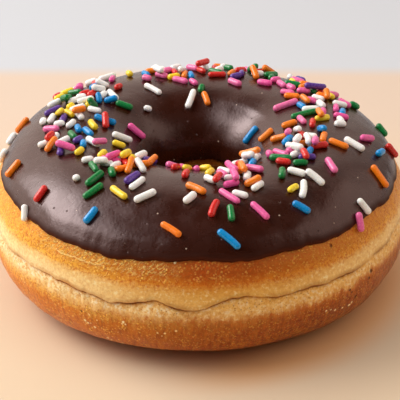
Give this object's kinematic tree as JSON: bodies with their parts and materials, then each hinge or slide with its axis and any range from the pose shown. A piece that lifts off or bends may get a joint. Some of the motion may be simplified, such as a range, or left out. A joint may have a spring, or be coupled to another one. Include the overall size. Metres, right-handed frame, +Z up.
{
  "type": "ring doughnut",
  "caption": "Raised ring doughnut with a round hole, dark chocolate icing over its top and coloured sprinkles.",
  "frame": {"origin": "on the hole's axis, at the height of the flat foot that the doughnut rests on", "axes": "+Z up along the hole's axis, iced side up; -Y towards the viewer of the picture, +X to the viewer's right"},
  "size_m": [0.0948, 0.0954, 0.0385],
  "materials": {
    "crust": "fried dough, golden to reddish brown, fine-grained, slightly glossy, with a pale rough band round the waist",
    "chocolate": "dark chocolate icing, set, satin gloss with tiny pits",
    "sprinkle_white": "satin sugar",
    "sprinkle_pink": "satin sugar",
    "sprinkle_yellow": "satin sugar",
    "sprinkle_orange": "satin sugar",
    "sprinkle_red": "satin sugar",
    "sprinkle_green": "satin sugar",
    "sprinkle_blue": "satin sugar",
    "sprinkle_purple": "satin sugar"
  },
  "bodies": {
    "root": {"dough": "crust", "icing": "chocolate"}
  },
  "joints": []
}
